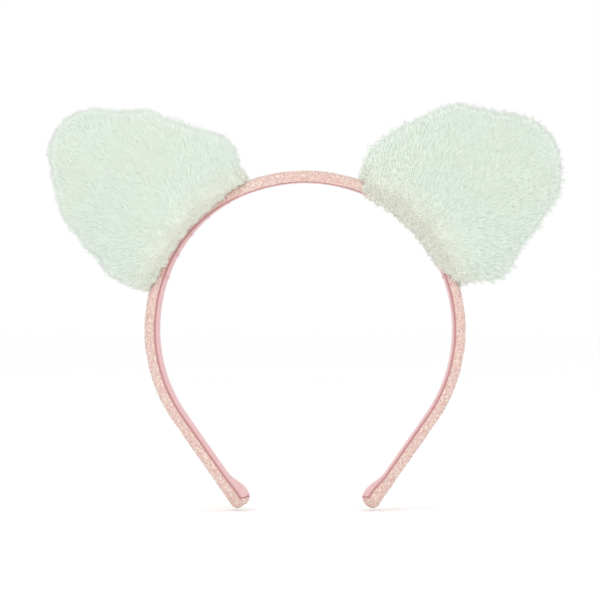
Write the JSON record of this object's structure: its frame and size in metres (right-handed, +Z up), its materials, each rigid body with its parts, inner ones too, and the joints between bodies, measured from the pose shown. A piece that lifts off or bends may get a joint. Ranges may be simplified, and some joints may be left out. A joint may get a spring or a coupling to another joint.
{
  "type": "animal ears headband",
  "caption": "Fabric-covered spring hair band with two padded plush animal ears sewn over its upper curve.",
  "frame": {"origin": "middle of the crown, on the lining's inner face where the band rests on the head", "axes": "+Z up as worn, +X to the right as seen from the front, front faces -Y"},
  "size_m": [0.2091, 0.02, 0.1658],
  "materials": {
    "core_plastic": "moulded, hidden inside the fabric",
    "glitter_fabric": "fine pink and cream glitter on a woven back",
    "lining_satin": "smooth satin ribbon",
    "plush": "short soft pile, pale mint white",
    "batting": "loose polyester fibre",
    "thread": "polyester sewing thread"
  },
  "bodies": {
    "crown": {"core_crown": "core_plastic", "glitter_cover": "glitter_fabric", "lining_ribbon": "lining_satin"},
    "left_leg": {"core_leg_left": "core_plastic", "ear_left_front_panel": "plush", "ear_left_back_panel": "plush", "ear_left_filling": "batting", "ear_left_seam_stitches": "thread", "ear_left_sewing_loops": "thread"},
    "right_leg": {"core_leg_right": "core_plastic", "ear_right_front_panel": "plush", "ear_right_back_panel": "plush", "ear_right_filling": "batting", "ear_right_seam_stitches": "thread", "ear_right_sewing_loops": "thread"}
  },
  "joints": [
    {"name": "left_flex", "type": "hinge", "parent": "crown", "child": "left_leg", "pos_m": [-0.0176, 0, 0.00038], "axis": [0, 1, 0], "range_deg": [-4, 16], "stiffness_Nm_per_rad": 0.8, "deforming": ["glitter_cover", "lining_ribbon"]},
    {"name": "right_flex", "type": "hinge", "parent": "crown", "child": "right_leg", "pos_m": [0.0176, 0, 0.00038], "axis": [0, -1, 0], "range_deg": [-4, 16], "stiffness_Nm_per_rad": 0.8, "deforming": ["glitter_cover", "lining_ribbon"]}
  ]
}
